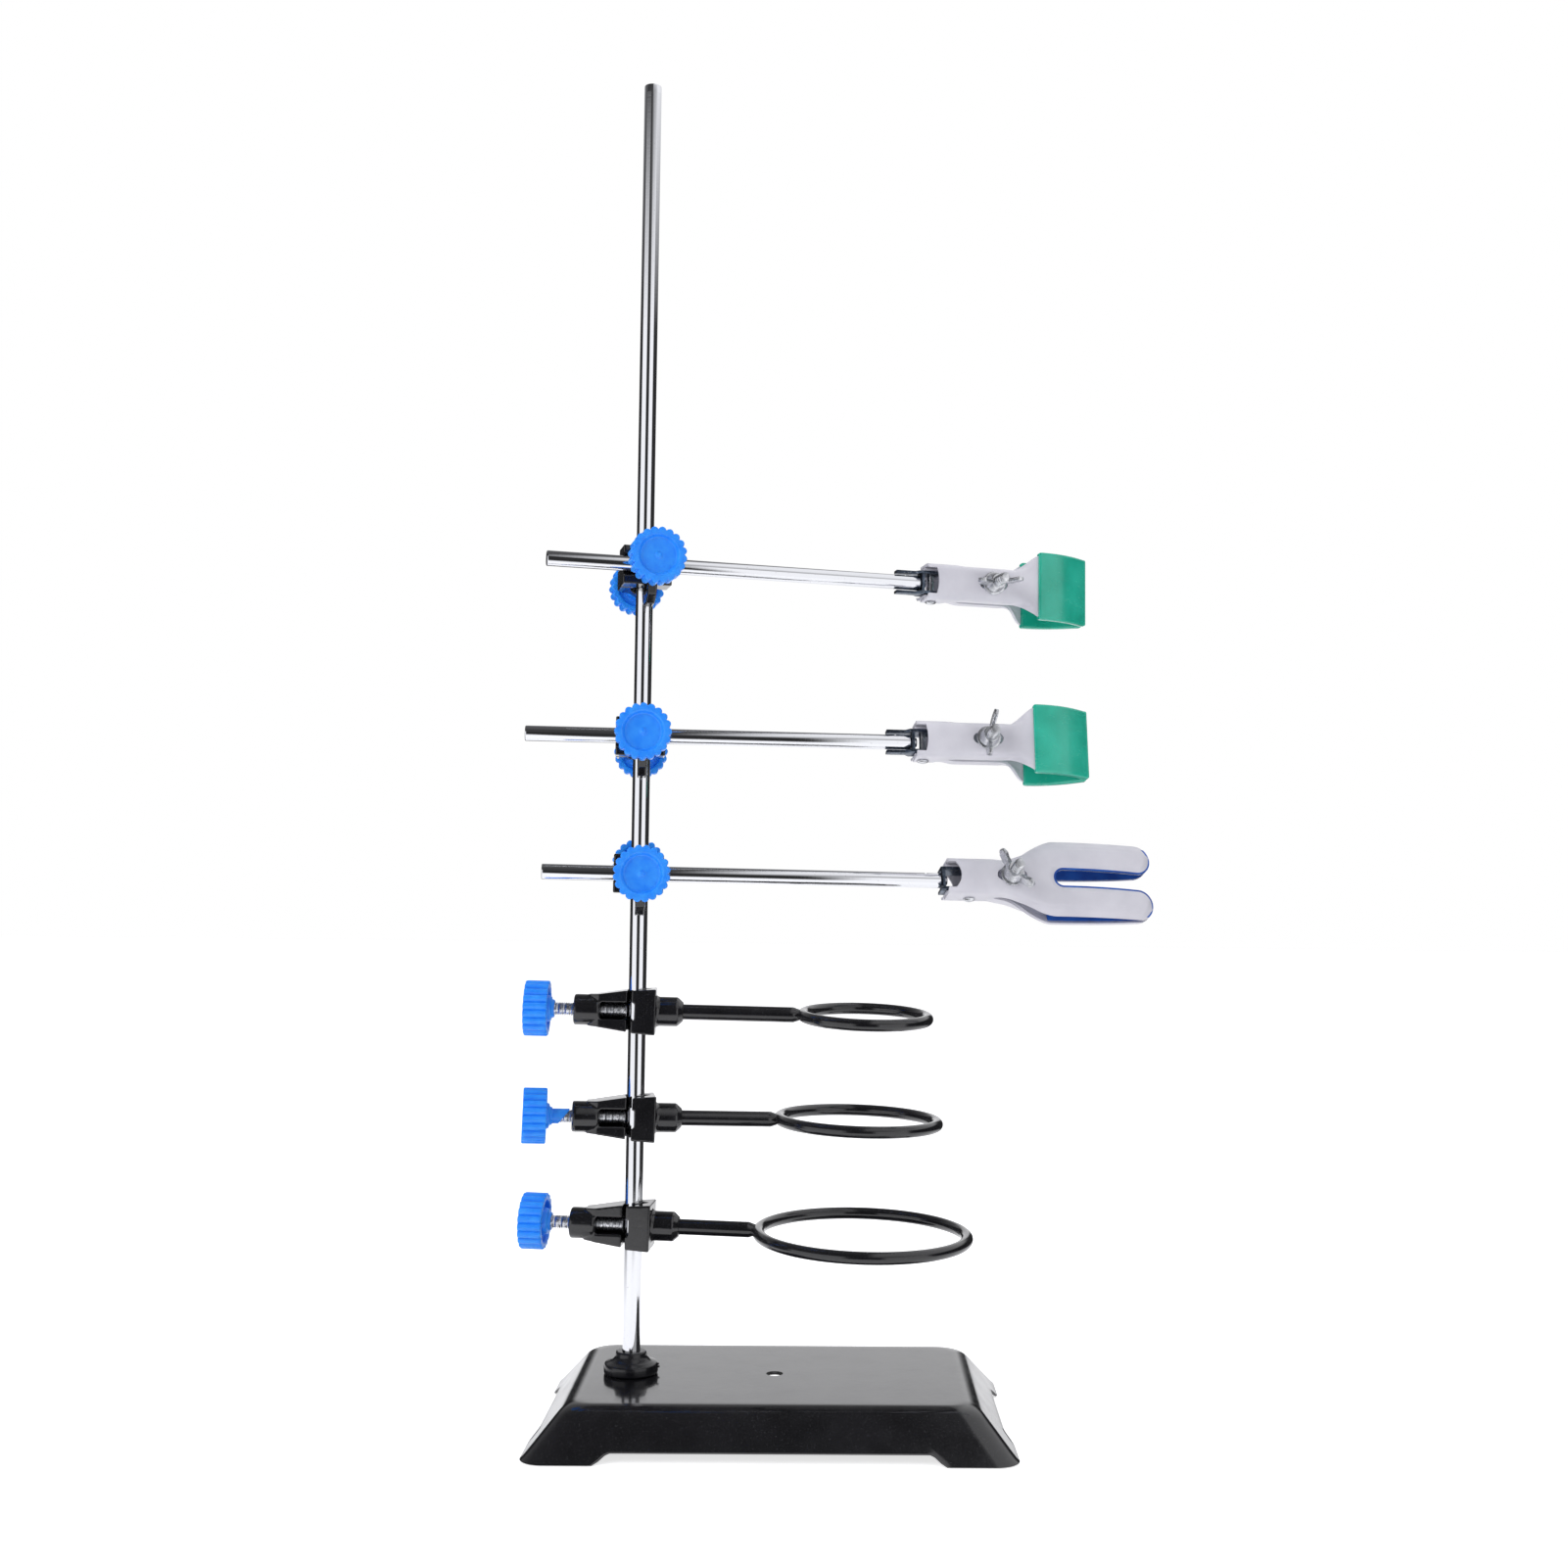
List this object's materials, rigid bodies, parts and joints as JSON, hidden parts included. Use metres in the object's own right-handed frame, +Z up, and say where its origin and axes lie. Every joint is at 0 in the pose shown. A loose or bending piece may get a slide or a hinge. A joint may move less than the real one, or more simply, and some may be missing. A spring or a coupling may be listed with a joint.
{
  "type": "laboratory retort stand",
  "caption": "Laboratory retort stand with a pressed base, a chromed rod, sliding support rings and boss-head clamps with hinged, padded jaws.",
  "frame": {"origin": "middle of the bounding box's footprint, on the surface the base stands on", "axes": "+X from the rod along the base, the way the arms and rings reach; -Y to the front; +Z up along the rod"},
  "size_m": [0.291, 0.135, 0.616],
  "materials": {
    "enamel": "gloss black stove enamel",
    "chrome": "bright plated",
    "zinc": "zinc plated",
    "dark_zinc": "dark zinc plated",
    "grey_paint": "pale grey semi-gloss",
    "blue_plastic": "azure, slightly glossy",
    "black_plastic": "black",
    "green_sleeve": "glossy green soft plastic",
    "blue_lining": "deep blue soft plastic"
  },
  "bodies": {
    "stand": {"base": "enamel", "rod": "chrome", "rod_collar": "black_plastic"},
    "small_ring_support": {"small_ring_boss": "enamel", "small_ring": "enamel"},
    "small_ring_screw": {"small_ring_screw": "zinc"},
    "small_ring_knob": {"small_ring_knob": "blue_plastic"},
    "medium_ring_support": {"medium_ring_boss": "enamel", "medium_ring": "enamel"},
    "medium_ring_screw": {"medium_ring_screw": "zinc"},
    "medium_ring_knob": {"medium_ring_knob": "blue_plastic"},
    "large_ring_support": {"large_ring_boss": "enamel", "large_ring": "enamel"},
    "large_ring_screw": {"large_ring_screw": "zinc"},
    "large_ring_knob": {"large_ring_knob": "blue_plastic"},
    "upper_boss_head": {"upper_boss": "enamel"},
    "upper_rod_screw": {"upper_rod_screw": "zinc"},
    "upper_rod_knob": {"upper_rod_knob": "blue_plastic"},
    "upper_arm_screw": {"upper_arm_screw": "zinc"},
    "upper_arm_knob": {"upper_arm_knob": "blue_plastic"},
    "upper_arm_bar": {"upper_arm": "chrome"},
    "upper_head": {"upper_yoke": "dark_zinc", "upper_hinge_pin": "zinc"},
    "upper_front_jaw": {"upper_front_jaw": "grey_paint", "upper_front_pad": "green_sleeve"},
    "upper_rear_jaw": {"upper_rear_jaw": "grey_paint", "upper_rear_pad": "green_sleeve", "upper_bolt": "zinc"},
    "upper_washer": {"upper_washer": "zinc"},
    "upper_wing_nut": {"upper_wing_nut": "zinc"},
    "middle_boss_head": {"middle_boss": "enamel"},
    "middle_rod_screw": {"middle_rod_screw": "zinc"},
    "middle_rod_knob": {"middle_rod_knob": "blue_plastic"},
    "middle_arm_screw": {"middle_arm_screw": "zinc"},
    "middle_arm_knob": {"middle_arm_knob": "blue_plastic"},
    "middle_arm_bar": {"middle_arm": "chrome"},
    "middle_head": {"middle_yoke": "dark_zinc", "middle_hinge_pin": "zinc"},
    "middle_front_jaw": {"middle_front_jaw": "grey_paint", "middle_front_pad": "green_sleeve"},
    "middle_rear_jaw": {"middle_rear_jaw": "grey_paint", "middle_rear_pad": "green_sleeve", "middle_bolt": "zinc"},
    "middle_washer": {"middle_washer": "zinc"},
    "middle_wing_nut": {"middle_wing_nut": "zinc"},
    "lower_boss_head": {"lower_boss": "enamel"},
    "lower_rod_screw": {"lower_rod_screw": "zinc"},
    "lower_rod_knob": {"lower_rod_knob": "blue_plastic"},
    "lower_arm_screw": {"lower_arm_screw": "zinc"},
    "lower_arm_knob": {"lower_arm_knob": "blue_plastic"},
    "lower_arm_bar": {"lower_arm": "chrome"},
    "lower_head": {"lower_yoke": "dark_zinc", "lower_hinge_pin": "zinc"},
    "lower_front_jaw": {"lower_front_jaw": "grey_paint", "lower_front_pad": "blue_lining"},
    "lower_rear_jaw": {"lower_rear_jaw": "grey_paint", "lower_rear_pad": "blue_lining", "lower_bolt": "zinc"},
    "lower_washer": {"lower_washer": "zinc"},
    "lower_wing_nut": {"lower_wing_nut": "zinc"}
  },
  "joints": [
    {"name": "small_ring_height", "type": "slide", "parent": "stand", "child": "small_ring_support", "axis": [0, 0, 1], "range_m": [-0.018, 0.024]},
    {"name": "small_ring_screw_travel", "type": "slide", "parent": "small_ring_support", "child": "small_ring_screw", "axis": [-0.9982, -0.0558, 0.0209], "range_m": [0, 0.003]},
    {"name": "small_ring_knob_turn", "type": "hinge", "parent": "small_ring_screw", "child": "small_ring_knob", "pos_m": [-0.09337, 0, 0.1829], "axis": [-0.9982, -0.0558, 0.0209], "range_deg": [0, 1080]},
    {"name": "medium_ring_height", "type": "slide", "parent": "stand", "child": "medium_ring_support", "axis": [0, 0, 1], "range_m": [-0.018, 0.018]},
    {"name": "medium_ring_screw_travel", "type": "slide", "parent": "medium_ring_support", "child": "medium_ring_screw", "axis": [-0.9868, -0.1598, 0.0279], "range_m": [0, 0.003]},
    {"name": "medium_ring_knob_turn", "type": "hinge", "parent": "medium_ring_screw", "child": "medium_ring_knob", "pos_m": [-0.09337, 0, 0.1346], "axis": [-0.9868, -0.1598, 0.0279], "range_deg": [0, 1080]},
    {"name": "large_ring_height", "type": "slide", "parent": "stand", "child": "large_ring_support", "axis": [0, 0, 1], "range_m": [-0.038, 0.018]},
    {"name": "large_ring_screw_travel", "type": "slide", "parent": "large_ring_support", "child": "large_ring_screw", "axis": [-0.998, 0.0593, 0.0227], "range_m": [0, 0.003]},
    {"name": "large_ring_knob_turn", "type": "hinge", "parent": "large_ring_screw", "child": "large_ring_knob", "pos_m": [-0.09337, 0, 0.0861], "axis": [-0.998, 0.0593, 0.0227], "range_deg": [0, 1080]},
    {"name": "upper_clamp_height", "type": "slide", "parent": "stand", "child": "upper_boss_head", "axis": [0, 0, 1], "range_m": [-0.036, 0.2]},
    {"name": "upper_rod_screw_travel", "type": "slide", "parent": "upper_boss_head", "child": "upper_rod_screw", "axis": [-0.2487, 0.9686, 0], "range_m": [0, 0.003]},
    {"name": "upper_rod_knob_turn", "type": "hinge", "parent": "upper_rod_screw", "child": "upper_rod_knob", "pos_m": [-0.09341, -0.00001, 0.3817], "axis": [-0.2487, 0.9686, 0], "range_deg": [0, 1080]},
    {"name": "upper_arm_screw_travel", "type": "slide", "parent": "upper_boss_head", "child": "upper_arm_screw", "axis": [0.2487, -0.9686, 0], "range_m": [0, 0.003]},
    {"name": "upper_arm_knob_turn", "type": "hinge", "parent": "upper_arm_screw", "child": "upper_arm_knob", "pos_m": [-0.09337, 0, 0.3862], "axis": [0.2487, -0.9686, 0], "range_deg": [0, 1080]},
    {"name": "upper_arm_reach", "type": "slide", "parent": "upper_boss_head", "child": "upper_arm_bar", "axis": [0.9685, 0.2487, -0.0105], "range_m": [-0.075, 0.028]},
    {"name": "upper_head_roll", "type": "hinge", "parent": "upper_arm_bar", "child": "upper_head", "pos_m": [0.04055, 0.01962, 0.38479], "axis": [0.9685, 0.2487, -0.0105], "continuous": true},
    {"name": "upper_front_jaw_swing", "type": "hinge", "parent": "upper_head", "child": "upper_front_jaw", "pos_m": [0.04055, 0.01962, 0.38479], "axis": [-0.0015, -0.0364, -0.9993], "range_deg": [0, 6]},
    {"name": "upper_rear_jaw_swing", "type": "hinge", "parent": "upper_head", "child": "upper_rear_jaw", "pos_m": [0.04055, 0.01962, 0.38479], "axis": [0.0015, 0.0364, 0.9993], "range_deg": [0, 6]},
    {"name": "upper_washer_travel", "type": "slide", "parent": "upper_rear_jaw", "child": "upper_washer", "axis": [0.2489, -0.9679, 0.0349], "range_m": [0, 0.0075]},
    {"name": "upper_wing_nut_turn", "type": "hinge", "parent": "upper_washer", "child": "upper_wing_nut", "pos_m": [0.06767, 0.02658, 0.3845], "axis": [0.2489, -0.9679, 0.0349], "continuous": true},
    {"name": "middle_clamp_height", "type": "slide", "parent": "stand", "child": "middle_boss_head", "axis": [0, 0, 1], "range_m": [-0.022, 0.034]},
    {"name": "middle_rod_screw_travel", "type": "slide", "parent": "middle_boss_head", "child": "middle_rod_screw", "axis": [-0.1149, 0.9934, 0], "range_m": [0, 0.003]},
    {"name": "middle_rod_knob_turn", "type": "hinge", "parent": "middle_rod_screw", "child": "middle_rod_knob", "pos_m": [-0.09338, 0, 0.3034], "axis": [-0.1149, 0.9934, 0], "range_deg": [0, 1080]},
    {"name": "middle_arm_screw_travel", "type": "slide", "parent": "middle_boss_head", "child": "middle_arm_screw", "axis": [0.1149, -0.9934, 0], "range_m": [0, 0.003]},
    {"name": "middle_arm_knob_turn", "type": "hinge", "parent": "middle_arm_screw", "child": "middle_arm_knob", "pos_m": [-0.09337, 0, 0.3079], "axis": [0.1149, -0.9934, 0], "range_deg": [0, 1080]},
    {"name": "middle_arm_reach", "type": "slide", "parent": "middle_boss_head", "child": "middle_arm_bar", "axis": [0.9934, 0.1149, -0.0035], "range_m": [-0.075, 0.028]},
    {"name": "middle_head_roll", "type": "hinge", "parent": "middle_arm_bar", "child": "middle_head", "pos_m": [0.03622, 0.0006, 0.30745], "axis": [0.9934, 0.1149, -0.0035], "continuous": true},
    {"name": "middle_front_jaw_swing", "type": "hinge", "parent": "middle_head", "child": "middle_front_jaw", "pos_m": [0.03622, 0.0006, 0.30745], "axis": [0.0185, -0.1899, -0.9816], "range_deg": [0, 6]},
    {"name": "middle_rear_jaw_swing", "type": "hinge", "parent": "middle_head", "child": "middle_rear_jaw", "pos_m": [0.03622, 0.0006, 0.30745], "axis": [-0.0185, 0.1899, 0.9816], "range_deg": [0, 6]},
    {"name": "middle_washer_travel", "type": "slide", "parent": "middle_rear_jaw", "child": "middle_washer", "axis": [0.1135, -0.975, 0.1908], "range_m": [0, 0.0075]},
    {"name": "middle_wing_nut_turn", "type": "hinge", "parent": "middle_washer", "child": "middle_wing_nut", "pos_m": [0.06503, 0.00393, 0.30735], "axis": [0.1135, -0.975, 0.1908], "continuous": true},
    {"name": "lower_clamp_height", "type": "slide", "parent": "stand", "child": "lower_boss_head", "axis": [0, 0, 1], "range_m": [-0.022, 0.022]},
    {"name": "lower_rod_screw_travel", "type": "slide", "parent": "lower_boss_head", "child": "lower_rod_screw", "axis": [-0.1253, 0.9921, 0], "range_m": [0, 0.003]},
    {"name": "lower_rod_knob_turn", "type": "hinge", "parent": "lower_rod_screw", "child": "lower_rod_knob", "pos_m": [-0.09332, 0.00001, 0.2495], "axis": [-0.1253, 0.9921, 0], "range_deg": [0, 1080]},
    {"name": "lower_arm_screw_travel", "type": "slide", "parent": "lower_boss_head", "child": "lower_arm_screw", "axis": [0.1253, -0.9921, 0], "range_m": [0, 0.003]},
    {"name": "lower_arm_knob_turn", "type": "hinge", "parent": "lower_arm_screw", "child": "lower_arm_knob", "pos_m": [-0.09337, 0, 0.2455], "axis": [0.1253, -0.9921, 0], "range_deg": [0, 1080]},
    {"name": "lower_arm_reach", "type": "slide", "parent": "lower_boss_head", "child": "lower_arm_bar", "axis": [0.992, 0.1253, -0.0122], "range_m": [-0.075, 0.028]},
    {"name": "lower_head_roll", "type": "hinge", "parent": "lower_arm_bar", "child": "lower_head", "pos_m": [0.05822, 0.00474, 0.24366], "axis": [0.992, 0.1253, -0.0122], "continuous": true},
    {"name": "lower_front_jaw_swing", "type": "hinge", "parent": "lower_head", "child": "lower_front_jaw", "pos_m": [0.05822, 0.00474, 0.24366], "axis": [0.0293, -0.3244, -0.9454], "range_deg": [0, 6]},
    {"name": "lower_rear_jaw_swing", "type": "hinge", "parent": "lower_head", "child": "lower_rear_jaw", "pos_m": [0.05822, 0.00474, 0.24366], "axis": [-0.0293, 0.3244, 0.9454], "range_deg": [0, 6]},
    {"name": "lower_washer_travel", "type": "slide", "parent": "lower_rear_jaw", "child": "lower_washer", "axis": [0.1225, -0.9376, 0.3255], "range_m": [0, 0.0075]},
    {"name": "lower_wing_nut_turn", "type": "hinge", "parent": "lower_washer", "child": "lower_wing_nut", "pos_m": [0.07668, 0.00707, 0.24343], "axis": [0.1225, -0.9376, 0.3255], "continuous": true}
  ],
  "couplings": [
    {"joint": "small_ring_screw_travel", "follows": "small_ring_knob_turn", "m_per_rad": 0.00015915},
    {"joint": "medium_ring_screw_travel", "follows": "medium_ring_knob_turn", "m_per_rad": 0.00015915},
    {"joint": "large_ring_screw_travel", "follows": "large_ring_knob_turn", "m_per_rad": 0.00015915},
    {"joint": "upper_rod_screw_travel", "follows": "upper_rod_knob_turn", "m_per_rad": 0.00015915},
    {"joint": "upper_arm_screw_travel", "follows": "upper_arm_knob_turn", "m_per_rad": 0.00015915},
    {"joint": "upper_rear_jaw_swing", "follows": "upper_front_jaw_swing", "ratio": 1},
    {"joint": "upper_washer_travel", "follows": "upper_front_jaw_swing", "m_per_rad": 0.068},
    {"joint": "middle_rod_screw_travel", "follows": "middle_rod_knob_turn", "m_per_rad": 0.00015915},
    {"joint": "middle_arm_screw_travel", "follows": "middle_arm_knob_turn", "m_per_rad": 0.00015915},
    {"joint": "middle_rear_jaw_swing", "follows": "middle_front_jaw_swing", "ratio": 1},
    {"joint": "middle_washer_travel", "follows": "middle_front_jaw_swing", "m_per_rad": 0.07},
    {"joint": "lower_rod_screw_travel", "follows": "lower_rod_knob_turn", "m_per_rad": 0.00015915},
    {"joint": "lower_arm_screw_travel", "follows": "lower_arm_knob_turn", "m_per_rad": 0.00015915},
    {"joint": "lower_rear_jaw_swing", "follows": "lower_front_jaw_swing", "ratio": 1},
    {"joint": "lower_washer_travel", "follows": "lower_front_jaw_swing", "m_per_rad": 0.054}
  ]
}
